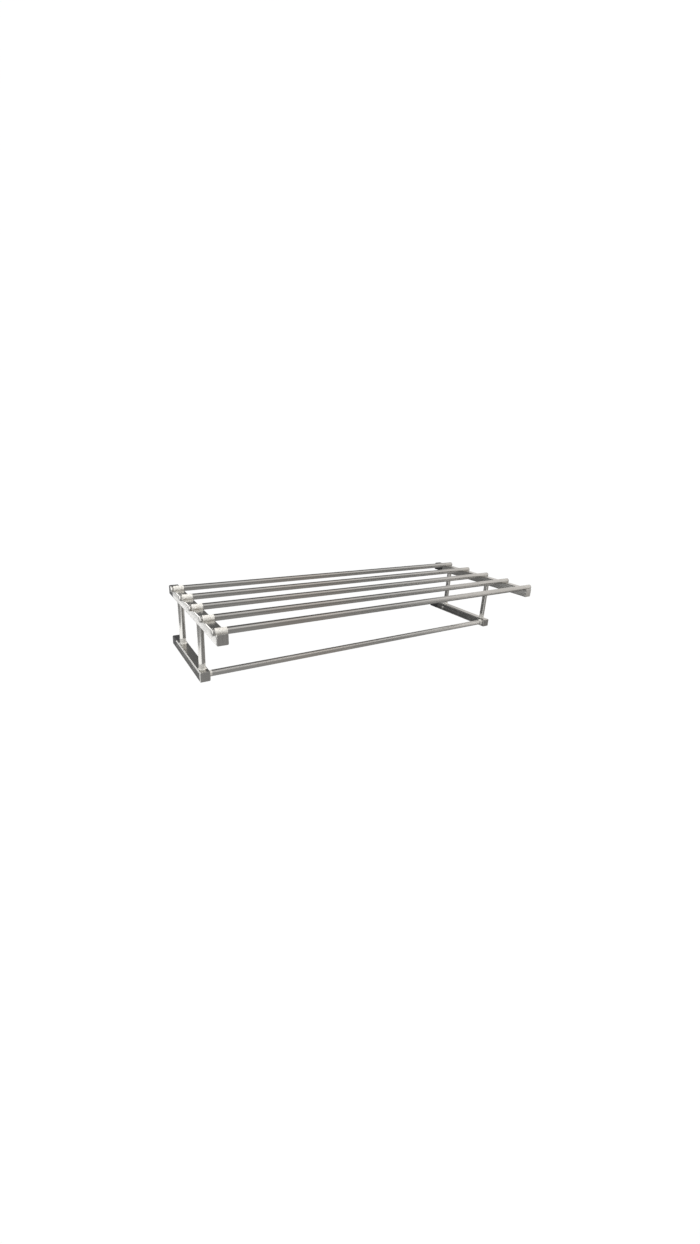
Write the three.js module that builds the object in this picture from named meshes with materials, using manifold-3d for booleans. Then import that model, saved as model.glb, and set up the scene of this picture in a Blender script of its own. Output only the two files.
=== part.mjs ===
// Wall-mounted towel rack in stainless steel. Two side frames of square tube carry five
// round shelf rods, let into the tops of the upper arms, and one towel bar below them.
//
// Units are millimetres. X runs along the rack, -Y points away from the wall, +Z is up.
// The origin lies on the wall plane, in the middle of the four wall brackets.

import * as THREE from 'three';
import { mergeVertices } from 'three/addons/utils/BufferGeometryUtils.js';
import Module from 'manifold-3d';

const wasm = await Module();
wasm.setup();

// ---------------------------------------------------------------- driving dimensions

// Whole rack
const RACK_WIDTH = 602; // over the outer faces of the arms
const UPPER_REACH = 250; // wall to the front of an upper arm
const LOWER_REACH = 164; // wall to the front of a lower arm
const ARM_RISE = 88; // from a lower arm's axis to an upper arm's axis
const GAP = 0.3; // between pieces that are welded or pressed together

// Square arm tube and the plug in its front end
const ARM_SIDE = 15;
const ARM_WALL = 1.2;
const ARM_CORNER = 1.7;
const ARM_PLUG_HEAD = 2;
const ARM_PLUG_DEPTH = 7;
const ARM_PLUG_EDGE = 0.9;

// Round tube: shelf rods, posts and towel bar
const ROD_RADIUS = 4.75;
const ROD_WALL = 0.9;
const ROD_COUNT = 5;
const FIRST_ROD = 32; // wall to the axis of the rod nearest the wall
const ROD_PITCH = 52.5;
const ROD_LIFT = 1.4; // rod axis above the top face of the arm
const ROD_OVERHANG = 4; // rod end past the outer face of the arm
const ROD_PLUG_HEAD = 1.6;
const ROD_PLUG_DEPTH = 7;
const ROD_PLUG_EDGE = 1.1;

// Posts between the arms, and the towel bar between the lower arms
const POST_DISTANCES = { rear: 42, front: 150 }; // wall to a post's axis
const BAR_DISTANCE = 154; // wall to the bar's axis
const WELD_LEG = 1.4; // fillet round a post's or the bar's end

// Wall bracket inside the arm, its cover and the screw that holds the arm on it
const BRACKET_SIDE = 11.6;
const BRACKET_BASE = 4; // thickness of the foot against the wall
const BRACKET_LENGTH = 50;
const CHANNEL_SHEET = 1.8; // thickness of the channel that reaches into the arm
const CHANNEL_TOP = 3.2; // top of the channel above the arm's axis, clear of the rods
const WALL_HOLE_RADIUS = 3;
const COVER_LENGTH = 25;
const COVER_EDGE = 1.5;
const SCREW_DISTANCE = 42; // wall to the retaining screw's axis
const SCREW_RADIUS = 2;
const SCREW_SHANK = 3.4;
const SCREW_HEAD_RADIUS = 3.2;
const SCREW_HEAD_HEIGHT = 1.9;
const SCREW_SOCKET_RADIUS = 1.45;
const SCREW_SOCKET_DEPTH = 1.2;

// Facets
const ROD_STEPS = 24;
const SMALL_STEPS = 16;
const CORNER_STEPS = 3;
const FILLET_STEPS = 2;

// Worked out from the above
const ARM_X = (RACK_WIDTH - ARM_SIDE) / 2;
const LEVELS = { upper: ARM_RISE / 2, lower: -ARM_RISE / 2 };
const REACHES = { upper: UPPER_REACH, lower: LOWER_REACH };
const SIDES = { left: -1, right: 1 };
const ROD_LENGTH = RACK_WIDTH + 2 * ROD_OVERHANG;
const ROD_Z = LEVELS.upper + ARM_SIDE / 2 + ROD_LIFT;
const BORE_SIDE = ARM_SIDE - 2 * ARM_WALL;

// ---------------------------------------------------------------- materials

const steel = (color, roughness) =>
  new THREE.MeshStandardMaterial({ color, roughness, metalness: 1 });

const MATERIALS = {
  arm: () => steel(0xb4b2ae, 0.36),
  armPlug: () => steel(0xa9a8a3, 0.4),
  rod: () => steel(0xbdbbb6, 0.3),
  rodPlug: () => steel(0xb3b1ac, 0.34),
  post: () => steel(0xb1b0ab, 0.33),
  bar: () => steel(0xb9b7b2, 0.3),
  bracket: () => steel(0x8f9192, 0.5),
  screw: () => steel(0xc9c8c4, 0.25),
  cover: () => new THREE.MeshStandardMaterial({ color: 0x2b2b2c, roughness: 0.6, metalness: 0 }),
};

// ---------------------------------------------------------------- solids for cutting and joining

function toSolid(geometry) {
  const bare = geometry.clone();
  bare.deleteAttribute('normal');
  bare.deleteAttribute('uv');
  const merged = mergeVertices(bare, 1e-4);
  const vertProperties = new Float32Array(merged.attributes.position.array);
  const triVerts = new Uint32Array(merged.index.array);
  return new wasm.Manifold(new wasm.Mesh({ numProp: 3, vertProperties, triVerts }));
}

function toGeometry(solid) {
  const mesh = solid.getMesh();
  const geometry = new THREE.BufferGeometry();
  geometry.setAttribute('position', new THREE.BufferAttribute(mesh.vertProperties, 3));
  geometry.setIndex(new THREE.BufferAttribute(mesh.triVerts, 1));
  geometry.computeVertexNormals();
  return geometry;
}

const cut = (body, ...tools) =>
  toGeometry(tools.reduce((rest, tool) => rest.subtract(toSolid(tool)), toSolid(body)));

const join = (first, second) => toGeometry(toSolid(first).add(toSolid(second)));

// ---------------------------------------------------------------- shared shapes

// Closed outline of a square with round corners, centred on the origin.
function roundedSquare(side, corner) {
  const reach = side / 2 - corner;
  const outline = new THREE.Shape();
  outline.absarc(reach, reach, corner, 0, Math.PI / 2);
  outline.absarc(-reach, reach, corner, Math.PI / 2, Math.PI);
  outline.absarc(-reach, -reach, corner, Math.PI, 1.5 * Math.PI);
  outline.absarc(reach, -reach, corner, 1.5 * Math.PI, 2 * Math.PI);
  outline.closePath();
  return outline;
}

// Extrusion of an outline from y = 0 towards -Y.
function extrudeForward(outline, length) {
  const settings = { depth: length, bevelEnabled: false, curveSegments: CORNER_STEPS };
  return new THREE.ExtrudeGeometry(outline, settings).rotateX(Math.PI / 2);
}

// Square block from y = 0 towards -Y, with all edges of both ends rounded by edge.
function softBlock(side, corner, length, edge) {
  const settings = {
    depth: length - 2 * edge,
    bevelThickness: edge,
    bevelSize: edge,
    bevelOffset: -edge,
    bevelSegments: FILLET_STEPS,
    curveSegments: CORNER_STEPS,
  };
  const block = new THREE.ExtrudeGeometry(roundedSquare(side, corner), settings);
  return block.translate(0, 0, edge).rotateX(Math.PI / 2);
}

// Plain box that spans from y = near to y = far, used to trim and to pocket.
function boxAlongY(side, near, far) {
  return new THREE.BoxGeometry(side, near - far, side).translate(0, (near + far) / 2, 0);
}

// Cylinder along X between two stations.
function cylinderAlongX(radius, start, end, steps = SMALL_STEPS) {
  const length = Math.abs(end - start);
  const cylinder = new THREE.CylinderGeometry(radius, radius, length, steps).rotateZ(Math.PI / 2);
  return cylinder.translate((start + end) / 2, 0, 0);
}

// Points of a quarter circle about (x, y), from one angle to another.
function arc(x, y, radius, from, to, steps = FILLET_STEPS) {
  const points = [];
  for (let i = 0; i <= steps; i += 1) {
    const angle = from + ((to - from) * i) / steps;
    points.push(new THREE.Vector2(x + radius * Math.cos(angle), y + radius * Math.sin(angle)));
  }
  return points;
}

// Round tube about the Y axis, centred, with a fillet of the given leg round each end.
function roundTube(length, leg = 0, steps = ROD_STEPS) {
  const half = length / 2;
  const inner = ROD_RADIUS - ROD_WALL;
  const foot = ROD_RADIUS + leg;
  const lower = leg ? arc(foot, leg - half, leg, 1.5 * Math.PI, Math.PI) : [];
  const upper = leg ? arc(foot, half - leg, leg, Math.PI, Math.PI / 2) : [];
  const profile = [
    new THREE.Vector2(inner, -half),
    ...(leg ? lower : [new THREE.Vector2(ROD_RADIUS, -half)]),
    ...(leg ? upper : [new THREE.Vector2(ROD_RADIUS, half)]),
    new THREE.Vector2(inner, half),
    new THREE.Vector2(inner, -half),
  ];
  return new THREE.LatheGeometry(profile, steps);
}

// ---------------------------------------------------------------- sub-parts

// Cylinder that clears the notch of one rod, in an arm's own frame.
function notchTool(distance) {
  return cylinderAlongX(ROD_RADIUS + GAP, -ARM_SIDE, ARM_SIDE, ROD_STEPS)
    .translate(0, -distance, ARM_SIDE / 2 + ROD_LIFT);
}

// Arm of square tube. An upper arm has a notch across its top for each rod.
// inward is the direction, along X, of the face that the retaining screw enters.
function armTube(reach, inward, rodDistances) {
  const outline = roundedSquare(ARM_SIDE, ARM_CORNER);
  outline.holes.push(roundedSquare(BORE_SIDE, ARM_CORNER - ARM_WALL));
  const length = reach - COVER_LENGTH - ARM_PLUG_HEAD - GAP;
  const tube = extrudeForward(outline, length).translate(0, -COVER_LENGTH, 0);
  const screwHole = cylinderAlongX(SCREW_RADIUS + GAP, 0, inward * ARM_SIDE)
    .translate(0, -SCREW_DISTANCE, 0);
  return cut(tube, screwHole, ...rodDistances.map(notchTool));
}

// Plug that closes the front of an arm; its head is flush with the tube's faces.
// A rod that lies over the plug cuts its notch in it too.
function armPlug(reach, rodDistances) {
  const block = softBlock(ARM_SIDE, ARM_CORNER, 2 * ARM_PLUG_HEAD, ARM_PLUG_EDGE)
    .translate(0, 2 * ARM_PLUG_HEAD - reach, 0);
  const rear = boxAlongY(2 * ARM_SIDE, 0, ARM_PLUG_HEAD - reach);
  const shank = boxAlongY(BORE_SIDE - 2 * GAP, ARM_PLUG_DEPTH - reach, ARM_PLUG_EDGE - reach);
  return cut(join(cut(block, rear), shank), ...rodDistances.map(notchTool));
}

// Domed plug for a rod's end. It stands on the XZ plane's +Y side, shank below.
function rodPlug() {
  const shank = ROD_RADIUS - ROD_WALL - GAP;
  const flat = ROD_RADIUS - ROD_PLUG_EDGE;
  const profile = [
    new THREE.Vector2(0, -ROD_PLUG_DEPTH),
    new THREE.Vector2(shank, -ROD_PLUG_DEPTH),
    new THREE.Vector2(shank, 0),
    new THREE.Vector2(ROD_RADIUS, 0),
    ...arc(flat, ROD_PLUG_HEAD - ROD_PLUG_EDGE, ROD_PLUG_EDGE, 0, Math.PI / 2),
    new THREE.Vector2(0, ROD_PLUG_HEAD),
  ];
  return new THREE.LatheGeometry(profile, SMALL_STEPS);
}

// Square foot screwed to the wall, with a channel, open at its top, that reaches into the arm.
function wallBracket(inward) {
  const block = boxAlongY(BRACKET_SIDE, 0, -BRACKET_LENGTH);
  const channelInside = BRACKET_SIDE - 2 * CHANNEL_SHEET;
  const pocket = boxAlongY(channelInside, -BRACKET_BASE, -2 * BRACKET_LENGTH);
  const lid = boxAlongY(BRACKET_SIDE * 2, -BRACKET_BASE, -2 * BRACKET_LENGTH)
    .translate(0, 0, BRACKET_SIDE + CHANNEL_TOP);
  const hole = new THREE.CylinderGeometry(
    WALL_HOLE_RADIUS, WALL_HOLE_RADIUS, 4 * BRACKET_BASE, SMALL_STEPS);
  const screwHole = cylinderAlongX(SCREW_RADIUS + GAP, 0, inward * ARM_SIDE)
    .translate(0, -SCREW_DISTANCE, 0);
  return cut(block, pocket, lid, hole, screwHole);
}

// Sleeve between the wall and the arm, rounded where it meets the wall.
function wallCover() {
  const block = softBlock(ARM_SIDE, ARM_CORNER, 2 * COVER_LENGTH, COVER_EDGE);
  const front = boxAlongY(2 * ARM_SIDE, GAP - COVER_LENGTH, -4 * COVER_LENGTH);
  const bore = boxAlongY(BRACKET_SIDE + 2 * GAP, COVER_LENGTH, -4 * COVER_LENGTH);
  return cut(block, front, bore);
}

// Button-head screw along +X, with the underside of its head at x = 0 and a hexagon socket.
function retainingScrew() {
  const crown = SCREW_HEAD_HEIGHT - SCREW_SOCKET_DEPTH / 2;
  const profile = [
    new THREE.Vector2(0, -SCREW_SHANK),
    new THREE.Vector2(SCREW_RADIUS, -SCREW_SHANK),
    new THREE.Vector2(SCREW_RADIUS, 0),
    new THREE.Vector2(SCREW_HEAD_RADIUS, 0),
    new THREE.Vector2(SCREW_HEAD_RADIUS * 0.94, SCREW_HEAD_HEIGHT * 0.45),
    new THREE.Vector2(SCREW_HEAD_RADIUS * 0.76, crown),
    new THREE.Vector2(SCREW_HEAD_RADIUS * 0.5, SCREW_HEAD_HEIGHT),
    new THREE.Vector2(0, SCREW_HEAD_HEIGHT),
  ];
  const body = new THREE.LatheGeometry(profile, SMALL_STEPS);
  const socket = new THREE.CylinderGeometry(
    SCREW_SOCKET_RADIUS, SCREW_SOCKET_RADIUS, 2 * SCREW_SOCKET_DEPTH, 6);
  return cut(body, socket.translate(0, SCREW_HEAD_HEIGHT, 0)).rotateZ(-Math.PI / 2);
}

// ---------------------------------------------------------------- assembly

const rack = new THREE.Group();

function addPiece(name, geometry, material, x, y, z) {
  const mesh = new THREE.Mesh(geometry, material);
  mesh.name = name;
  mesh.position.set(x, y, z);
  rack.add(mesh);
  return mesh;
}

const rodDistances = Array.from({ length: ROD_COUNT }, (_, i) => FIRST_ROD + i * ROD_PITCH);

function addArm(level, side) {
  const inward = -SIDES[side];
  const x = SIDES[side] * ARM_X;
  const z = LEVELS[level];
  const tag = `${level}_${side}`;
  const notches = level === 'upper' ? rodDistances : [];
  const screwX = x + inward * (ARM_SIDE / 2 + GAP);
  addPiece(`arm_${tag}`, armTube(REACHES[level], inward, notches), MATERIALS.arm(), x, 0, z);
  addPiece(`arm_plug_${tag}`, armPlug(REACHES[level], notches), MATERIALS.armPlug(), x, 0, z);
  addPiece(`wall_bracket_${tag}`, wallBracket(inward), MATERIALS.bracket(), x, 0, z);
  addPiece(`wall_cover_${tag}`, wallCover(), MATERIALS.cover(), x, 0, z);
  const screw = addPiece(`retaining_screw_${tag}`, retainingScrew(), MATERIALS.screw(),
    screwX, -SCREW_DISTANCE, z);
  screw.rotation.z = inward > 0 ? 0 : Math.PI;
}

function addShelfRod(number, distance) {
  const tubeLength = ROD_LENGTH - 2 * (ROD_PLUG_HEAD + GAP);
  const rod = addPiece(`shelf_rod_${number}`, roundTube(tubeLength), MATERIALS.rod(),
    0, -distance, ROD_Z);
  rod.rotation.z = Math.PI / 2;
  for (const [side, sign] of Object.entries(SIDES)) {
    const plug = addPiece(`rod_plug_${number}_${side}`, rodPlug(), MATERIALS.rodPlug(),
      sign * (ROD_LENGTH / 2 - ROD_PLUG_HEAD), -distance, ROD_Z);
    plug.rotation.z = -sign * Math.PI / 2;
  }
}

function addPost(place, side) {
  const length = ARM_RISE - ARM_SIDE - 2 * GAP;
  const post = roundTube(length, WELD_LEG, SMALL_STEPS).rotateX(Math.PI / 2);
  addPiece(`post_${place}_${side}`, post, MATERIALS.post(),
    SIDES[side] * ARM_X, -POST_DISTANCES[place], 0);
}

function addTowelBar() {
  const length = RACK_WIDTH - 2 * (ARM_SIDE + GAP);
  const bar = addPiece('towel_bar', roundTube(length, WELD_LEG), MATERIALS.bar(),
    0, -BAR_DISTANCE, LEVELS.lower);
  bar.rotation.z = Math.PI / 2;
}

for (const side of Object.keys(SIDES)) {
  for (const level of Object.keys(LEVELS)) {
    addArm(level, side);
  }
  for (const place of Object.keys(POST_DISTANCES)) {
    addPost(place, side);
  }
}
rodDistances.forEach((distance, i) => addShelfRod(i + 1, distance));
addTowelBar();

export default rack;
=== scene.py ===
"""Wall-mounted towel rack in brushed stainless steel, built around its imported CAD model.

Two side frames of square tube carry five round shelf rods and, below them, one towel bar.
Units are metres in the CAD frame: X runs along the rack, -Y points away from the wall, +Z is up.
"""

import math

import bmesh
import bpy
from mathutils import Matrix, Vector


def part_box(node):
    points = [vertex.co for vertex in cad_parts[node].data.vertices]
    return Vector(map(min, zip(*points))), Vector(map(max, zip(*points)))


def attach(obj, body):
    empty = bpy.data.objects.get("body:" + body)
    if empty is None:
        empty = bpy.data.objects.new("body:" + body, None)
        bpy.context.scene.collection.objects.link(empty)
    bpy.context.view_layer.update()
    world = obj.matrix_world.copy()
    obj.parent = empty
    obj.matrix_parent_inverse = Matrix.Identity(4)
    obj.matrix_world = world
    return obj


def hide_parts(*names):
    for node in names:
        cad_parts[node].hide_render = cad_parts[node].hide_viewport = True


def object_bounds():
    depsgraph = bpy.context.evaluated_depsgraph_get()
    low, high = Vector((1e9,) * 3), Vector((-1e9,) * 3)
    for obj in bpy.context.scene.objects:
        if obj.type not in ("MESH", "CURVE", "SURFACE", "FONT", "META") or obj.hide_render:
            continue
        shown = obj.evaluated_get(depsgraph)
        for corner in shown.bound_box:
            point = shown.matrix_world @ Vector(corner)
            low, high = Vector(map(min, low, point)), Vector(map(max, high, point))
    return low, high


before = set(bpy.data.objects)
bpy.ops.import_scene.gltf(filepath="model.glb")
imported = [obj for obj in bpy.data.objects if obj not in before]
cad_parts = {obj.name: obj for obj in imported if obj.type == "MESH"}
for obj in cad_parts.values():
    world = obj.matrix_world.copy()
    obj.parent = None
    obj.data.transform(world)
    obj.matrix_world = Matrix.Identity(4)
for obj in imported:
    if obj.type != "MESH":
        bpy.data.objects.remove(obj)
cad_low, cad_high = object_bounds()

MM = 0.001
SIDES = ("left", "right")
LEVELS = ("upper", "lower")
PLACES = ("rear", "front")
ROD_COUNT = sum(name.startswith("shelf_rod_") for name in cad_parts)
AXES = {"X": (1, 2, 0), "Y": (0, 2, 1), "Z": (0, 1, 2)}  # where u, v and the length of a section go

# Square tube and what is fitted in and on it
TUBE_WALL = 1.2 * MM
TUBE_CORNER = 1.7 * MM
CUT_EDGE = 0.18 * MM  # the broken edge of a sawn tube
PLUG_EDGE = 0.9 * MM
PLUG_SHANK_GAP = 0.3 * MM
PLUG_SHANK_CORNER = 0.3 * MM
COVER_EDGE = 1.5 * MM
COVER_BORE = 12.2 * MM
COVER_BORE_CORNER = 0.3 * MM
LEAST_COVER_CORNER = 0.2 * MM  # where the rounding at the wall has taken the rest
SNUG = 0.08 * MM  # clearance of a notch or a hole round what goes through it

# Round tube, its plugs and its welds
ROD_WALL = 0.9 * MM
ROD_PLUG_EDGE = 1.1 * MM
ROD_PLUG_ROUNDING = 80  # degrees of the arc between a plug's side and its face
ROD_PLUG_CROWN = 0.15 * MM  # how far the face bulges
ROD_PLUG_CROWN_RINGS = (0.66, 0.33)  # shares of the radius
WELD_LEG = 1.4 * MM
WELD_RIPPLE = 0.07 * MM
WELD_RIPPLES = 26
WELD_STEPS = 4 * WELD_RIPPLES

# Wall bracket
BRACKET_BASE = 4 * MM
BRACKET_SHEET = 1.8 * MM
BRACKET_EDGE = 0.4 * MM
BRACKET_FOLD = 1.2 * MM
BRACKET_CORNER = 0.8 * MM
CHANNEL_TOP = 3.2 * MM  # above the arm's axis, and clear of the rods
WALL_HOLE_RADIUS = 3 * MM
WALL_HOLE_CHAMFER = 0.6 * MM

# Retaining screw
SCREW_SHANK = 3.4 * MM
SCREW_RADIUS = 2 * MM
SCREW_SOCKET_RADIUS = 1.45 * MM
SCREW_SOCKET_DEPTH = 1.2 * MM
SCREW_SOCKET_SIDES = 6
SCREW_RIM = 0.3 * MM
SCREW_DOME = 60  # degrees of arc from its rim to its top

# Facets
ROUND_STEPS = 72
SMALL_STEPS = 48
CORNER_STEPS = 7
EDGE_STEPS = 5
SHEET_EDGE_STEPS = 3
SHARP_ANGLE = math.radians(30)


# ---------------------------------------------------------------- camera

CAMERA_PLACE = (-0.4539, -0.7606, 0.2556)
CAMERA_TURN = 34.02  # degrees to the right of square on to the wall
CAMERA_TILT = -19.13  # degrees above the horizon
CAMERA_ROLL = 3.59
CAMERA_LENS = 13.195
CAMERA_SENSOR = 36  # along the long side of the frame


def make_camera():
    data = bpy.data.cameras.new("camera")
    data.lens = CAMERA_LENS
    data.sensor_width = CAMERA_SENSOR
    camera = bpy.data.objects.new("camera", data)
    turn = Matrix.Rotation(math.radians(-CAMERA_TURN), 4, "Z")
    tilt = Matrix.Rotation(math.radians(90 + CAMERA_TILT), 4, "X")
    roll = Matrix.Rotation(math.radians(CAMERA_ROLL), 4, "Z")
    camera.matrix_world = Matrix.Translation(CAMERA_PLACE) @ turn @ tilt @ roll
    bpy.context.scene.collection.objects.link(camera)
    bpy.context.scene.camera = camera


# ---------------------------------------------------------------- meshes

def new_object(name, data):
    piece = bpy.data.objects.new(name, data)
    bpy.context.scene.collection.objects.link(piece)
    return piece


def object_of(name, shell):
    """New object with the faces of a bmesh, which is used up."""
    mesh = bpy.data.meshes.new(name)
    shell.to_mesh(mesh)
    shell.free()
    return new_object(name, mesh)


def arc(centre_u, centre_v, radius, start, end, steps):
    """Points of an arc in a plane, angles in degrees."""
    angles = [math.radians(start + (end - start) * i / steps) for i in range(steps + 1)]
    return [(centre_u + radius * math.cos(a), centre_v + radius * math.sin(a)) for a in angles]


def circle(radius, steps=ROUND_STEPS, ripple=0.0):
    """Round section; ripple adds small scallops, as a weld bead has."""
    points = []
    for i in range(steps):
        angle = 2 * math.pi * i / steps
        reach = radius + ripple * math.sin(WELD_RIPPLES * angle)
        points.append((reach * math.cos(angle), reach * math.sin(angle)))
    return points


def rounded_square(side, corner):
    """Square section with round corners."""
    reach = side / 2 - corner
    points = []
    for i, (sign_u, sign_v) in enumerate([(1, 1), (-1, 1), (-1, -1), (1, -1)]):
        points += arc(sign_u * reach, sign_v * reach, corner, 90 * i, 90 * i + 90, CORNER_STEPS)
    return points


def add_ring(shell, axis, centre, along, points):
    """Vertices of one section of a loft, set round the centre and across the axis."""
    place_u, place_v, place_w = AXES[axis]
    ring = []
    for u, v in points:
        spot = list(centre)
        spot[place_u] += u
        spot[place_v] += v
        spot[place_w] = along
        ring.append(shell.verts.new(spot))
    return ring


def loft(name, axis, centre, sections, closed=False):
    """Skin over sections, each (place along the axis, points). Closed joins the last to the first."""
    shell = bmesh.new()
    rings = [add_ring(shell, axis, centre, along, points) for along, points in sections]
    pairs = list(zip(rings, rings[1:]))
    if closed:
        pairs.append((rings[-1], rings[0]))
    else:
        shell.faces.new(rings[0])
        shell.faces.new(rings[-1])
    for near, far in pairs:
        for i in range(len(near)):
            j = (i + 1) % len(near)
            shell.faces.new((near[i], near[j], far[j], far[i]))
    bmesh.ops.recalc_face_normals(shell, faces=shell.faces)
    return object_of(name, shell)


def carve(piece, cutter, operation="DIFFERENCE"):
    """Cuts the cutter out of the piece, or joins it on, and keeps the result as the piece's mesh."""
    modifier = piece.modifiers.new("carve", "BOOLEAN")
    modifier.operation = operation
    modifier.solver = "EXACT"
    modifier.object = cutter
    graph = bpy.context.evaluated_depsgraph_get()
    carved = bpy.data.meshes.new_from_object(piece.evaluated_get(graph))
    piece.modifiers.clear()
    piece.data = carved
    bpy.data.objects.remove(cutter)


def smooth(piece):
    """Smooth round faces and flat flat ones, with crisp edges between them."""
    piece.data.shade_smooth()
    piece.data.set_sharp_from_angle(angle=SHARP_ANGLE)
    weighted = piece.modifiers.new("weighted_normals", "WEIGHTED_NORMAL")
    weighted.keep_sharp = True


def cylinder(axis, centre, radius, start, end, steps=ROUND_STEPS):
    return loft("cutter", axis, centre, [(start, circle(radius, steps)), (end, circle(radius, steps))])


def middle(node):
    low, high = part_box(node)
    return (low + high) / 2


def finish_piece(piece, node, material):
    """Makes the piece stand for its CAD node, with its material."""
    smooth(piece)
    piece.data.materials.clear()
    piece.data.materials.append(material)
    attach(piece, "root")
    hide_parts(node)


# ---------------------------------------------------------------- material nodes

class Nodes:
    """Short ways to add and link nodes. place is the point, in metres, or a world's direction."""

    def __init__(self, owner, coordinate="Generated"):
        self.tree = owner.node_tree
        self.place = self.add("ShaderNodeTexCoord").outputs[coordinate]

    def add(self, kind, **settings):
        node = self.tree.nodes.new(kind)
        for name, value in settings.items():
            setattr(node, name, value)
        return node

    def feed(self, socket, value):
        if isinstance(value, bpy.types.NodeSocket):
            self.tree.links.new(value, socket)
        else:
            socket.default_value = value

    def math(self, operation, first, second=0.0):
        node = self.add("ShaderNodeMath", operation=operation)
        self.feed(node.inputs[0], first)
        self.feed(node.inputs[1], second)
        return node.outputs[0]

    def spread(self, value, start, end, low=0.0, high=1.0):
        """Value from start to end becomes low to high, eased at both ends."""
        node = self.add("ShaderNodeMapRange", interpolation_type="SMOOTHSTEP")
        for socket, number in zip(node.inputs, (value, start, end, low, high)):
            self.feed(socket, number)
        return node.outputs[0]

    def swing(self, noise, low=0.0, high=1.0):
        """A noise made to run from low to high, as most of its values lie between 0.3 and 0.7."""
        return self.spread(noise, 0.3, 0.7, low, high)

    def degrees(self, angle):
        return self.math("MULTIPLY", angle, 180 / math.pi)

    def both(self, first, second):
        return self.math("MULTIPLY", first, second)

    def window(self, value, low, high, soft):
        """1 between low and high, easing to 0 over soft outside them."""
        rise = self.spread(value, low - soft, low)
        fall = self.spread(value, high, high + soft, 1.0, 0.0)
        return self.both(rise, fall)

    def noise(self, stretch, detail=3.0, rough=0.55, offset=0.0):
        """Noise whose grains per metre along X, Y and Z are given."""
        mapping = self.add("ShaderNodeMapping")
        self.feed(mapping.inputs["Vector"], self.place)
        self.feed(mapping.inputs["Scale"], stretch)
        self.feed(mapping.inputs["Location"], (offset, offset, offset))
        texture = self.add("ShaderNodeTexNoise")
        self.feed(texture.inputs["Vector"], mapping.outputs[0])
        self.feed(texture.inputs["Scale"], 1.0)
        self.feed(texture.inputs["Detail"], detail)
        self.feed(texture.inputs["Roughness"], rough)
        return texture.outputs[0]

    def between(self, factor, first, second):
        """A number that is first where the factor is 0 and second where it is 1."""
        node = self.add("ShaderNodeMix", data_type="FLOAT")
        self.feed(node.inputs[0], factor)
        self.feed(node.inputs[2], first)
        self.feed(node.inputs[3], second)
        return node.outputs[0]

    def mix(self, factor, first, second):
        node = self.add("ShaderNodeMix", data_type="RGBA")
        self.feed(node.inputs[0], factor)
        self.feed(node.inputs[6], first)
        self.feed(node.inputs[7], second)
        return node.outputs[2]

    def bump(self, height, depth, strength=1.0, under=None):
        node = self.add("ShaderNodeBump")
        self.feed(node.inputs["Height"], height)
        self.feed(node.inputs["Distance"], depth)
        self.feed(node.inputs["Strength"], strength)
        if under is not None:
            self.feed(node.inputs["Normal"], under)
        return node.outputs[0]

    def axis(self, letter):
        split = self.add("ShaderNodeSeparateXYZ")
        self.feed(split.inputs[0], self.place)
        return split.outputs["XYZ".index(letter)]


class MaterialNodes(Nodes):
    """The nodes of one new material."""

    def __init__(self, name):
        self.material = bpy.data.materials.new(name)
        self.material.use_nodes = True
        super().__init__(self.material, "Object")
        self.shader = self.tree.nodes["Principled BSDF"]


def shade(colour, factor):
    return tuple(channel * factor for channel in colour[:3]) + (1.0,)


def even(grains):
    """The same grains per metre along every axis."""
    return (grains, grains, grains)


def stretched(letter, along, across):
    """Grains per metre, few along one axis and many across it."""
    return tuple(along if letter == axis else across for axis in "XYZ")


# ---------------------------------------------------------------- materials

STEEL = (0.60, 0.59, 0.565, 1.0)
STREAKS = (0.94, 1.04)  # darkest and lightest streak of the brushing, against the steel's colour
CLOUDED = 0.84  # the dull patches, against the steel's colour
CLOUDING = 0.35
GLOSS_SWING = (-0.03, 0.04)  # what the streaks add to the roughness
WIPE_MARKS = 0.05  # what the most wiped patches add to the roughness

# The brushing: grains per metre along it and across it, depth, and strength of the relief
HAIRLINES = (9, 1800)
HAIRLINE_RELIEF = (0.001 * MM, 0.7)
COARSE_LINES = (7, 520)
COARSE_RELIEF = (0.0015 * MM, 0.6)

# Pale matt patches: a painted reflection on the rods over the arms, a painted highlight over the weld
# at the posts' feet, and ground welds at the bar's ends; with some heat tint left beside the welds
WELD_AND_SHEEN_COLOUR = (0.92, 0.90, 0.845, 1.0)
WELD_AND_SHEEN_DARKEST = 0.97
WELD_AND_SHEEN_ROUGHNESS = 0.6
WELD_AND_SHEEN_METAL = 0.12
PAINTED_SHEEN_BORDER = 0.4 * MM
PAINTED_SHEEN_AT_RIGHT = 0.15  # how much of the painted reflection shows over the right arms
STRAW_TINT = (0.42, 0.30, 0.19, 1.0)
TINT_PLACE = (5 * MM, 0.5 * MM)  # where the tint begins and is full, from the arm's inner face
TINT_DROP = 3 * MM  # how far below a rod's axis it is full
TINT_STRENGTH = 0.55
TINT_ABOVE = 0.25
POST_WELD_AND_SHEEN = (8 * MM, 10 * MM)  # where the pale band, a painted highlight over the weld, fades out, above the post's foot
POST_RAGGED = 0.5 * MM
BAR_WELD = (4.5 * MM, 3 * MM)  # where the grinding begins and is full, from the bar's end
BAR_RAGGED = 0.6 * MM

# Plastic and plated sheet
PLASTIC = (0.04, 0.04, 0.041, 1)
PLASTIC_SHADES = (0.85, 1.12)
PLASTIC_ROUGHNESS = (0.5, 0.62)
PLASTIC_GRAIN = (0.02 * MM, 0.5)
ZINC = ((0.36, 0.37, 0.38, 1), (0.50, 0.51, 0.52, 1))  # darkest and lightest spangle
ZINC_DULL = (0.44, 0.42, 0.36, 1)
ZINC_DULLING = 0.5
ZINC_ROUGHNESS = (0.42, 0.58)
ZINC_RELIEF = (0.03 * MM, 0.5)


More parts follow.
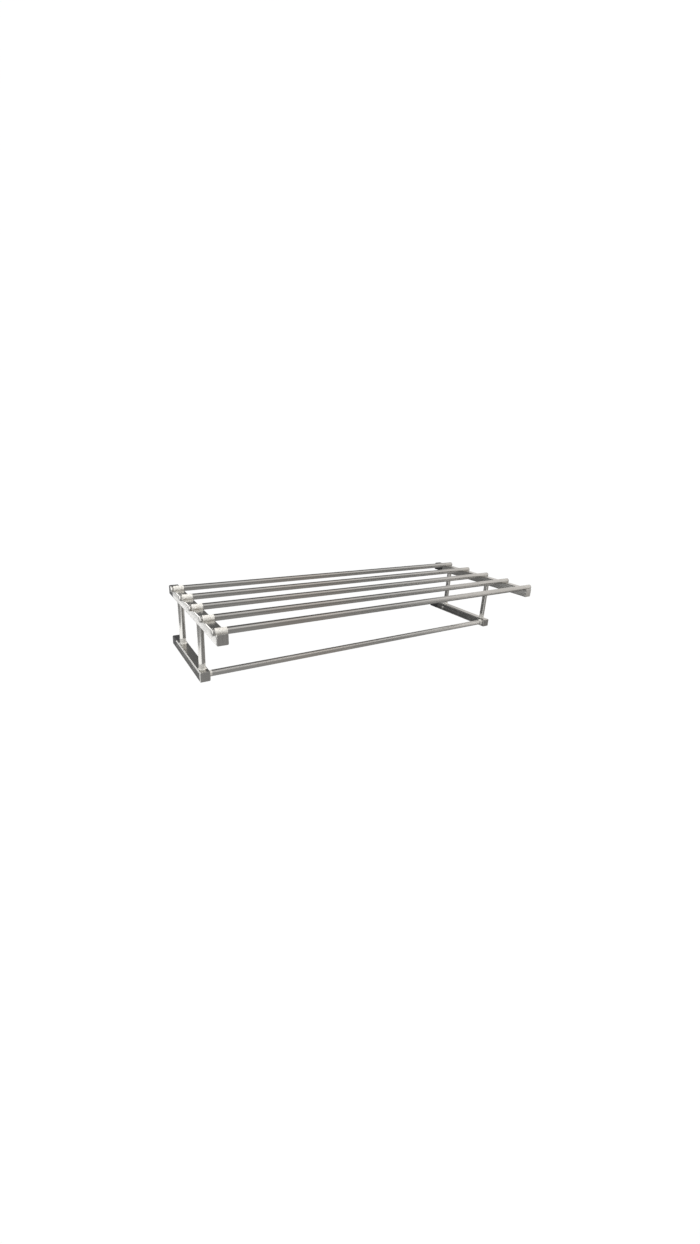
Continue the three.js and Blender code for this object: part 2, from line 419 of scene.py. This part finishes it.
def paint_weld_and_sheen(nodes, mask, steel, gloss):
    """Steel, metal and gloss of the pale matt patches where the mask is 1: ground welds, and painted
    reflections and highlights.
    """
    mottle = nodes.noise(even(900), detail=2.0, offset=8.2)
    pale = nodes.mix(nodes.swing(mottle), shade(WELD_AND_SHEEN_COLOUR, WELD_AND_SHEEN_DARKEST), WELD_AND_SHEEN_COLOUR)
    steel = nodes.mix(mask, steel, pale)
    metal = nodes.between(mask, 1.0, WELD_AND_SHEEN_METAL)
    gloss = nodes.between(mask, gloss, WELD_AND_SHEEN_ROUGHNESS)
    return steel, metal, gloss


def brushed_steel(name, grain, tone, roughness, anisotropy, turned=0.0, weld_and_painted_sheen=None, tinted=None):
    """Stainless steel brushed along one axis, or polished round it where turned is 0.25.

    weld_and_painted_sheen and tinted are functions that return masks: where the steel is a pale matt
    colour, for ground welds and for painted reflections and highlights, and where a weld's heat left a
    straw colour.
    """
    nodes = MaterialNodes(name)
    hairline = nodes.noise(stretched(grain, *HAIRLINES), detail=2.0)
    streak = nodes.noise(stretched(grain, *COARSE_LINES), detail=3.0, offset=3.7)
    cloud = nodes.noise(even(16), detail=2.0, offset=11.3)
    wiped = nodes.noise(even(60), detail=4.0, rough=0.6, offset=5.1)
    dark, light = (shade(STEEL, streak_shade * tone) for streak_shade in STREAKS)
    steel = nodes.mix(nodes.swing(streak), dark, light)
    clouded = nodes.spread(cloud, 0.35, 0.65, 0.0, CLOUDING)
    steel = nodes.mix(clouded, steel, shade(STEEL, CLOUDED * tone))
    least, most = (roughness + change for change in GLOSS_SWING)
    gloss = nodes.spread(streak, 0.25, 0.75, least, most)
    gloss = nodes.math("ADD", gloss, nodes.spread(wiped, 0.45, 0.75, 0.0, WIPE_MARKS))
    metal = 1.0
    if weld_and_painted_sheen is not None:
        steel, metal, gloss = paint_weld_and_sheen(nodes, weld_and_painted_sheen(nodes), steel, gloss)
    if tinted is not None:
        steel = nodes.mix(tinted(nodes), steel, STRAW_TINT)
    nodes.feed(nodes.shader.inputs["Base Color"], steel)
    nodes.feed(nodes.shader.inputs["Metallic"], metal)
    nodes.feed(nodes.shader.inputs["Roughness"], gloss)
    nodes.feed(nodes.shader.inputs["Anisotropic"], anisotropy)
    nodes.feed(nodes.shader.inputs["Anisotropic Rotation"], turned)
    coarse = nodes.bump(streak, *COARSE_RELIEF)
    nodes.feed(nodes.shader.inputs["Normal"], nodes.bump(hairline, *HAIRLINE_RELIEF, coarse))
    if anisotropy > 0:
        tangent = nodes.add("ShaderNodeTangent", direction_type="RADIAL", axis=grain)
        nodes.feed(nodes.shader.inputs["Tangent"], tangent.outputs[0])
    return nodes.material


def painted_sheen_over_the_arms(nodes):
    """Mask of the painted reflection on the stretches of a shelf rod over the arms, stronger at the
    left than at the right.
    """
    along = nodes.axis("X")
    low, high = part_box("arm_upper_left")
    left = nodes.window(along, low.x, high.x, PAINTED_SHEEN_BORDER)
    low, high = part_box("arm_upper_right")
    right = nodes.window(along, low.x, high.x, PAINTED_SHEEN_BORDER)
    return nodes.math("ADD", left, nodes.both(right, PAINTED_SHEEN_AT_RIGHT))


def beside_the_arms(nodes):
    """Patchy mask of the heat tint on a rod, just inside the arms and mostly on its underside."""
    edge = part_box("arm_upper_right")[0].x
    reach = nodes.math("ABSOLUTE", nodes.axis("X"))
    begins, full = TINT_PLACE
    near = nodes.spread(reach, edge - begins, edge - full)
    patches = nodes.noise(even(120), detail=3.0, offset=2.4)
    patch = nodes.spread(patches, 0.5, 0.66, 0.0, TINT_STRENGTH)
    rod_axis = middle("shelf_rod_1").z
    below = nodes.spread(nodes.axis("Z"), rod_axis - TINT_DROP, rod_axis, 1.0, TINT_ABOVE)
    return nodes.both(nodes.both(near, patch), below)


def ragged_place(nodes, place, raggedness, offset):
    """A place along a piece, shifted here and there by up to the raggedness."""
    shift = nodes.swing(nodes.noise(even(220), offset=offset), -raggedness, raggedness)
    return nodes.math("ADD", place, shift)


def post_feet(nodes):
    """Mask of the pale band at a post's foot: a painted highlight over the weld fillet."""
    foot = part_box("post_front_left")[0].z
    fades, ends = POST_WELD_AND_SHEEN
    height = ragged_place(nodes, nodes.axis("Z"), POST_RAGGED, 6.0)
    return nodes.spread(height, foot + fades, foot + ends, 1.0, 0.0)


def bar_ends(nodes):
    """Mask of the ground weld zones at the towel bar's ends."""
    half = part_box("towel_bar")[1].x
    begins, full = BAR_WELD
    reach = ragged_place(nodes, nodes.math("ABSOLUTE", nodes.axis("X")), BAR_RAGGED, 9.0)
    return nodes.spread(reach, half - begins, half - full)


def moulded_plastic(name, colour):
    nodes = MaterialNodes(name)
    grain = nodes.noise(even(1400), detail=2.0)
    cloud = nodes.noise(even(45), detail=3.0, offset=4.0)
    dark, light = (shade(colour, factor) for factor in PLASTIC_SHADES)
    nodes.feed(nodes.shader.inputs["Base Color"], nodes.mix(nodes.swing(cloud), dark, light))
    nodes.feed(nodes.shader.inputs["Roughness"], nodes.swing(cloud, *PLASTIC_ROUGHNESS))
    nodes.feed(nodes.shader.inputs["Normal"], nodes.bump(grain, *PLASTIC_GRAIN))
    return nodes.material


def zinc_plate(name):
    nodes = MaterialNodes(name)
    spangle = nodes.noise(even(260), detail=3.0)
    cloud = nodes.noise(even(30), detail=2.0, offset=7.0)
    tone = nodes.mix(nodes.swing(spangle), *ZINC)
    tone = nodes.mix(nodes.spread(cloud, 0.45, 0.7, 0.0, ZINC_DULLING), tone, ZINC_DULL)
    nodes.feed(nodes.shader.inputs["Base Color"], tone)
    nodes.feed(nodes.shader.inputs["Metallic"], 1.0)
    nodes.feed(nodes.shader.inputs["Roughness"], nodes.swing(spangle, *ZINC_ROUGHNESS))
    nodes.feed(nodes.shader.inputs["Normal"], nodes.bump(spangle, *ZINC_RELIEF))
    return nodes.material


MATERIALS = {
    "arm": brushed_steel("arm_steel", "Y", tone=0.98, roughness=0.17, anisotropy=0.2),
    "arm_plug": brushed_steel("arm_plug_steel", "Z", tone=0.95, roughness=0.26, anisotropy=0.0),
    # Over the arms the rods' colour turns pale: a painted reflection.
    "rod": brushed_steel("rod_steel", "X", tone=1.04, roughness=0.16, anisotropy=0.5, turned=0.25,
                         weld_and_painted_sheen=painted_sheen_over_the_arms, tinted=beside_the_arms),
    "rod_plug": brushed_steel("rod_plug_steel", "Z", tone=0.85, roughness=0.25, anisotropy=0.0),
    # At the posts' feet the colour turns pale: a painted highlight over the weld.
    "post": brushed_steel("post_steel", "Z", tone=0.98, roughness=0.18, anisotropy=0.5, turned=0.25,
                          weld_and_painted_sheen=post_feet),
    "bar": brushed_steel("towel_bar_steel", "X", tone=1.2, roughness=0.17, anisotropy=0.5, turned=0.25,
                         weld_and_painted_sheen=bar_ends),
    "screw": brushed_steel("screw_steel", "X", tone=1.15, roughness=0.25, anisotropy=0.0),
    "bracket": zinc_plate("bracket_metal"),
    "cover": moulded_plastic("wall_cover_plastic", PLASTIC),
}


# ---------------------------------------------------------------- arms

def notch_cutters(rods):
    for number in rods:
        low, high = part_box(f"shelf_rod_{number}")
        radius = (high.y - low.y) / 2 + SNUG
        yield cylinder("X", (low + high) / 2, radius, low.x, high.x)


def screw_cutter(tag):
    low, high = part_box(f"retaining_screw_{tag}")
    return cylinder("X", (low + high) / 2, SCREW_RADIUS + SNUG, low.x, high.x, SMALL_STEPS)


def make_arm(tag):
    node = f"arm_{tag}"
    low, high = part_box(node)
    side = high.x - low.x
    outer = rounded_square(side, TUBE_CORNER)
    broken = rounded_square(side - 2 * CUT_EDGE, TUBE_CORNER - CUT_EDGE)
    bore = rounded_square(side - 2 * TUBE_WALL, TUBE_CORNER - TUBE_WALL)
    sections = [
        (high.y, bore), (high.y, broken), (high.y - CUT_EDGE, outer),
        (low.y + CUT_EDGE, outer), (low.y, broken), (low.y, bore),
    ]
    arm = loft(node + "_tube", "Y", (low + high) / 2, sections, closed=True)
    if tag.startswith("upper"):
        for cutter in notch_cutters(range(1, ROD_COUNT + 1)):
            carve(arm, cutter)
    carve(arm, screw_cutter(tag))
    finish_piece(arm, node, MATERIALS["arm"])


def make_arm_plug(tag):
    node = f"arm_plug_{tag}"
    low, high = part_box(node)
    side = high.x - low.x
    head_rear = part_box(f"arm_{tag}")[0].y - PLUG_SHANK_GAP + SNUG
    shank = rounded_square(side - 2 * TUBE_WALL - 2 * PLUG_SHANK_GAP, PLUG_SHANK_CORNER)
    sections = [(high.y, shank), (head_rear, shank)]
    sections.append((head_rear, rounded_square(side - 2 * CUT_EDGE, TUBE_CORNER - CUT_EDGE)))
    sections.append((head_rear - CUT_EDGE, rounded_square(side, TUBE_CORNER)))
    for inset, depth in arc(PLUG_EDGE, PLUG_EDGE, PLUG_EDGE, 180, 270, EDGE_STEPS):
        sections.append((low.y + depth, rounded_square(side - 2 * inset, TUBE_CORNER - inset)))
    plug = loft(node + "_cap", "Y", (low + high) / 2, sections)
    if tag.startswith("upper"):
        for cutter in notch_cutters([ROD_COUNT]):
            carve(plug, cutter)
    finish_piece(plug, node, MATERIALS["arm_plug"])


# ---------------------------------------------------------------- rods, posts and towel bar

def make_shelf_rod(number):
    node = f"shelf_rod_{number}"
    low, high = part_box(node)
    radius = (high.y - low.y) / 2
    sections = [
        (low.x, circle(radius - ROD_WALL)), (low.x, circle(radius - CUT_EDGE)),
        (low.x + CUT_EDGE, circle(radius)), (high.x - CUT_EDGE, circle(radius)),
        (high.x, circle(radius - CUT_EDGE)), (high.x, circle(radius - ROD_WALL)),
    ]
    rod = loft(node + "_tube", "X", (low + high) / 2, sections, closed=True)
    finish_piece(rod, node, MATERIALS["rod"])


def make_rod_plug(number, side):
    node = f"rod_plug_{number}_{side}"
    low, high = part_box(node)
    radius = (high.y - low.y) / 2
    outward = 1 if side == "right" else -1
    tip = high.x if outward > 0 else low.x
    rear = low.x if outward > 0 else high.x
    rod_low, rod_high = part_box(f"shelf_rod_{number}")
    seat = (rod_high.x if outward > 0 else rod_low.x) + outward * SNUG
    shank = circle(radius - ROD_WALL - PLUG_SHANK_GAP, SMALL_STEPS)
    sections = [(rear, shank), (seat, shank), (seat, circle(radius - CUT_EDGE, SMALL_STEPS))]
    sections.append((seat + outward * CUT_EDGE, circle(radius, SMALL_STEPS)))
    rim = tip - outward * ROD_PLUG_CROWN
    edge = ROD_PLUG_EDGE
    for reach, depth in arc(radius - edge, edge, edge, 0, -ROD_PLUG_ROUNDING, EDGE_STEPS):
        sections.append((rim - outward * depth, circle(reach, SMALL_STEPS)))
    for share in ROD_PLUG_CROWN_RINGS:
        crown = tip - outward * ROD_PLUG_CROWN * share * share
        sections.append((crown, circle(radius * share, SMALL_STEPS)))
    plug = loft(node + "_cap", "X", (low + high) / 2, sections)
    finish_piece(plug, node, MATERIALS["rod_plug"])


def welded_tube(name, axis, node, radius):
    """Round tube with a rippled weld fillet round each end."""
    low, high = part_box(node)
    along = AXES[axis][2]
    sections = []
    for end, inward in ((low[along], 1), (high[along], -1)):
        fillet = arc(radius + WELD_LEG, WELD_LEG, WELD_LEG, 270, 180, EDGE_STEPS)
        weld = []
        for i, (reach, depth) in enumerate(fillet):
            ripple = WELD_RIPPLE * math.sin(math.pi * i / EDGE_STEPS)
            weld.append((end + inward * depth, circle(reach, WELD_STEPS, ripple)))
        weld.insert(0, (end, circle(radius - ROD_WALL, WELD_STEPS)))
        sections += weld if inward > 0 else weld[::-1]
    return loft(name, axis, (low + high) / 2, sections, closed=True)


def tube_radius():
    low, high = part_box("shelf_rod_1")
    return (high.y - low.y) / 2


def make_post(tag):
    node = f"post_{tag}"
    post = welded_tube(node + "_tube", "Z", node, tube_radius())
    finish_piece(post, node, MATERIALS["post"])


def make_towel_bar():
    bar = welded_tube("towel_bar_tube", "X", "towel_bar", tube_radius())
    finish_piece(bar, "towel_bar", MATERIALS["bar"])


# ---------------------------------------------------------------- wall end

def channel_section(half):
    """U section of folded sheet, open at the top; half is half its width."""
    inner = half - BRACKET_SHEET
    fold = BRACKET_FOLD
    edge = BRACKET_EDGE
    lip = CHANNEL_TOP - edge
    steps = SHEET_EDGE_STEPS
    points = arc(half - edge, lip, edge, 90, 0, steps)
    points += arc(half - fold, fold - half, fold, 0, -90, EDGE_STEPS)
    points += arc(fold - half, fold - half, fold, -90, -180, EDGE_STEPS)
    points += arc(edge - half, lip, edge, 180, 90, steps)
    points += arc(-inner - edge, lip, edge, 90, 0, steps)
    points += arc(edge - inner, edge - inner, edge, 180, 270, steps)
    points += arc(inner - edge, edge - inner, edge, 270, 360, steps)
    points += arc(inner + edge, lip, edge, 180, 90, steps)
    return points


def bracket_foot(name, centre, side, rear, front):
    """Plate against the wall, with a rounded edge at the rear."""
    sections = []
    for inset, depth in arc(BRACKET_EDGE, BRACKET_EDGE, BRACKET_EDGE, 270, 180, SHEET_EDGE_STEPS):
        sections.append((rear - depth, rounded_square(side - 2 * inset, BRACKET_CORNER)))
    sections.append((front + CUT_EDGE, rounded_square(side, BRACKET_CORNER)))
    sections.append((front, rounded_square(side - 2 * CUT_EDGE, BRACKET_CORNER)))
    return loft(name, "Y", centre, sections)


def wall_hole_cutter(centre, rear, front):
    """Hole for a wall screw, chamfered at the front."""
    hole = circle(WALL_HOLE_RADIUS, SMALL_STEPS)
    wide = circle(WALL_HOLE_RADIUS + WALL_HOLE_CHAMFER, SMALL_STEPS)
    return loft("cutter", "Y", centre, [
        (rear + MM, hole), (front + WALL_HOLE_CHAMFER, hole), (front, wide), (front - MM, wide),
    ])


def make_wall_bracket(tag):
    node = f"wall_bracket_{tag}"
    low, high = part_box(node)
    centre = (low + high) / 2
    side = high.x - low.x
    front = high.y - BRACKET_BASE
    bracket = bracket_foot(node + "_plated", centre, side, high.y, front)
    section = channel_section(side / 2)
    channel = loft("channel", "Y", centre, [(front + BRACKET_BASE / 2, section), (low.y, section)])
    carve(bracket, channel, "UNION")
    carve(bracket, wall_hole_cutter(centre, high.y, front))
    carve(bracket, screw_cutter(tag))
    finish_piece(bracket, node, MATERIALS["bracket"])


def make_wall_cover(tag):
    node = f"wall_cover_{tag}"
    low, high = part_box(node)
    side = high.x - low.x
    bore = rounded_square(COVER_BORE, COVER_BORE_CORNER)
    rounding = arc(COVER_EDGE, COVER_EDGE, COVER_EDGE, 270, 180, EDGE_STEPS)
    sections = [(high.y, bore)]
    for inset, depth in rounding:
        corner = max(TUBE_CORNER - inset, LEAST_COVER_CORNER)
        sections.append((high.y - depth, rounded_square(side - 2 * inset, corner)))
    sections.append((low.y + CUT_EDGE, rounded_square(side, TUBE_CORNER)))
    sections.append((low.y, rounded_square(side - 2 * CUT_EDGE, TUBE_CORNER - CUT_EDGE)))
    sections.append((low.y, bore))
    cover = loft(node + "_sleeve", "Y", (low + high) / 2, sections, closed=True)
    finish_piece(cover, node, MATERIALS["cover"])


def make_retaining_screw(tag):
    node = f"retaining_screw_{tag}"
    low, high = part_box(node)
    centre = (low + high) / 2
    outward = 1 if tag.endswith("left") else -1
    rear = low.x if outward > 0 else high.x
    top = high.x if outward > 0 else low.x
    head = (high.y - low.y) / 2
    seat = rear + outward * SCREW_SHANK
    height = abs(top - seat) - SCREW_RIM
    sections = [(rear, circle(SCREW_RADIUS, SMALL_STEPS)), (seat, circle(SCREW_RADIUS, SMALL_STEPS))]
    sections.append((seat, circle(head, SMALL_STEPS)))
    for i in range(EDGE_STEPS + 1):
        angle = math.radians(SCREW_DOME * i / EDGE_STEPS)
        reach = head * math.cos(angle)
        rise = height * math.sin(angle) / math.sin(math.radians(SCREW_DOME))
        sections.append((seat + outward * (SCREW_RIM + rise), circle(reach, SMALL_STEPS)))
    screw = loft(node + "_button", "X", centre, sections)
    bottom = top - outward * SCREW_SOCKET_DEPTH
    socket = cylinder("X", centre, SCREW_SOCKET_RADIUS, bottom, top + outward * MM, SCREW_SOCKET_SIDES)
    carve(screw, socket)
    finish_piece(screw, node, MATERIALS["screw"])


# ---------------------------------------------------------------- studio

STAGE_RADIUS = 7.0
FLOOR_DROP = 0.55  # below the middle of the rack
FLOOR_GLOW = 0.975
BACKDROP_GLOW = 1.0
WHITE = (1, 1, 1, 1)
BLACK = (0, 0, 0, 1)
FLOOR_PAPER = (0.04, 0.04, 0.04, 1)
CARD_PAPER = (0.01, 0.01, 0.01, 1)

# The room that the steel mirrors. Pitch is the angle round the rack's length: 0 behind it, 90 above.
ROOM_LIGHT = 0.33
PITCH_SOFTNESS = 5
REAR_WALL = ((-4, 84), 0.16)  # pitches in degrees, brightness
OVERHEAD_STRIP = ((92, 140), 0.78)
FRONT_PITCHES = (140, 160)  # the front of the room fades in between them, above and below
SHADED_BAY = ((0.5, 0.6), 0.04, 0.26)  # at the front: where it lies along X, softness, brightness
RIGHT_WALL = (0.655, 0.725, 0.88)  # where it fades in, along X, and its brightness
RIGHT_WALL_COLOUR = (1.0, 0.97, 0.945, 1.0)
AMBER_BAY = ((0.4, 0.5), 0.05)  # where it lies along X, softness
AMBER = (1.0, 0.92, 0.86, 1.0)

# Patches of the room, each over the ones before: azimuths in degrees, heights, softness, brightness.
# Azimuth 0 is behind the rack and 90 to its right; height is the sine of the elevation.
ROOM_PATCHES = {
    "low_right": ((20, 112), (-0.8, -0.34), (8, 0.03), 0.22),
    "right_front_flag": ((116, 142), (-0.37, -0.262), (4, 0.02), 0.03),
    "left_front_wall": ((-190, -136), (-0.31, -0.19), (4, 0.02), 1.1),
    "left_wall": ((-132, -36), (-0.335, -0.06), (6, 0.02), 0.035),
    "rear_right_wall": ((4, 36), (-0.335, -0.06), (8, 0.02), 0.035),
    "rear_left_floor": ((-26, -4), (-0.5, -0.35), (4, 0.02), 0.17),
    "left_panel": ((-62, -38), (-0.235, -0.1), (4, 0.012), 0.26),
    "rear_left_window": ((-42, -3), (0.1, 0.46), (4, 0.06), 0.5),
}

# White cards that stand close beside the left frame: heights and brightness
CARD_X = -0.36
CARD_Y = (-0.3, 0.3)
CARDS = {
    "lower_card": ((-0.1, -0.03), 1.6),
    "middle_card": ((-0.03, 0.03), 0.38),
    "upper_card": ((0.03, 0.16), 2.4),
}

# Soft light from above that the steel does not mirror
TOP_FILL_PLACE = (0.0, -0.3, 1.4)
TOP_FILL_SIZE = (2.4, 1.4)
TOP_FILL_LIGHT = 1.75


def camera_only(thing):
    """Only the camera sees it: it is not mirrored, and it casts neither light nor shadow."""
    thing.visible_glossy = False
    thing.visible_diffuse = False
    thing.visible_transmission = False
    thing.visible_shadow = False


def glowing_paper(name, colour, brightness, roughness=0.5):
    nodes = MaterialNodes(name)
    nodes.feed(nodes.shader.inputs["Base Color"], colour)
    nodes.feed(nodes.shader.inputs["Roughness"], roughness)
    nodes.feed(nodes.shader.inputs["Emission Color"], WHITE)
    nodes.feed(nodes.shader.inputs["Emission Strength"], brightness)
    return nodes.material


def make_floor():
    disc = bmesh.new()
    bmesh.ops.create_circle(disc, cap_ends=True, segments=96, radius=STAGE_RADIUS)
    floor = object_of("floor", disc)
    floor.location.z = -FLOOR_DROP
    floor.data.materials.append(glowing_paper("floor_paper", FLOOR_PAPER, FLOOR_GLOW, roughness=0.9))
    camera_only(floor)


def make_backdrop():
    dome = bmesh.new()
    bmesh.ops.create_uvsphere(dome, u_segments=64, v_segments=32, radius=STAGE_RADIUS)
    bmesh.ops.reverse_faces(dome, faces=dome.faces)
    backdrop = object_of("backdrop", dome)
    backdrop.data.materials.append(glowing_paper("backdrop_paper", BLACK, BACKDROP_GLOW))
    camera_only(backdrop)


def make_top_fill():
    light = bpy.data.lights.new("top_fill", "AREA")
    light.shape = "RECTANGLE"
    light.size, light.size_y = TOP_FILL_SIZE
    light.energy = TOP_FILL_LIGHT * math.pi * light.size * light.size_y
    box = new_object("top_fill", light)
    box.location = TOP_FILL_PLACE
    towards = (cad_low + cad_high) / 2 - box.location
    box.rotation_euler = towards.to_track_quat("-Z", "Y").to_euler()
    box.visible_camera = False
    box.visible_glossy = False


def make_card(name, bottom, top, brightness):
    """White card that only the steel mirrors, upright and facing along the rack."""
    sheet = bmesh.new()
    near, far = CARD_Y
    corners = [(near, bottom), (far, bottom), (far, top), (near, top)]
    sheet.faces.new([sheet.verts.new((CARD_X, y, z)) for y, z in corners])
    card = object_of(name, sheet)
    card.data.materials.append(glowing_paper(name + "_paper", CARD_PAPER, brightness))
    camera_only(card)
    card.visible_camera = False
    card.visible_glossy = True


def room_bands(nodes, x, pitch):
    """Brightness of the bands that run the length of the rack, behind it, over it and in front."""
    light = ROOM_LIGHT
    for (low, high), brightness in (REAR_WALL, OVERHEAD_STRIP):
        light = nodes.between(nodes.window(pitch, low, high, PITCH_SOFTNESS), light, brightness)
    front = nodes.spread(nodes.math("ABSOLUTE", pitch), *FRONT_PITCHES)
    (low, high), soft, brightness = SHADED_BAY
    return nodes.between(nodes.both(front, nodes.window(x, low, high, soft)), light, brightness)


def room_patches(nodes, light, azimuth, height):
    """Lays the patches of the room over its light so far."""
    for azimuths, heights, (soft_turn, soft_height), brightness in ROOM_PATCHES.values():
        across = nodes.window(azimuth, *azimuths, soft_turn)
        up = nodes.window(height, *heights, soft_height)
        light = nodes.between(nodes.both(across, up), light, brightness)
    return light


def make_room():
    """Soft grey room round the rack, told by direction: what the steel mirrors."""
    world = bpy.data.worlds.new("room")
    world.use_nodes = True
    nodes = Nodes(world)
    x, y, z = (nodes.axis(letter) for letter in "XYZ")
    azimuth = nodes.degrees(nodes.math("ARCTAN2", x, y))
    pitch = nodes.degrees(nodes.math("ARCTAN2", z, y))
    begins, full, brightness = RIGHT_WALL
    right = nodes.spread(x, begins, full)
    light = nodes.between(right, room_bands(nodes, x, pitch), brightness)
    light = room_patches(nodes, light, azimuth, z)
    colour = nodes.mix(right, WHITE, RIGHT_WALL_COLOUR)
    (low, high), soft = AMBER_BAY
    colour = nodes.mix(nodes.window(x, low, high, soft), colour, AMBER)
    background = nodes.tree.nodes["Background"]
    nodes.feed(background.inputs["Strength"], light)
    nodes.feed(background.inputs["Color"], colour)
    bpy.context.scene.world = world


# ---------------------------------------------------------------- the scene

make_camera()
make_floor()
make_backdrop()
make_top_fill()
for name, ((bottom, top), brightness) in CARDS.items():
    make_card(name, bottom, top, brightness)
make_room()
bpy.context.scene.view_settings.view_transform = "Standard"

for side in SIDES:
    for level in LEVELS:
        make_arm(f"{level}_{side}")
        make_arm_plug(f"{level}_{side}")
        make_wall_bracket(f"{level}_{side}")
        make_wall_cover(f"{level}_{side}")
        make_retaining_screw(f"{level}_{side}")
    for place in PLACES:
        make_post(f"{place}_{side}")
    for number in range(1, ROD_COUNT + 1):
        make_rod_plug(number, side)
for number in range(1, ROD_COUNT + 1):
    make_shelf_rod(number)
make_towel_bar()
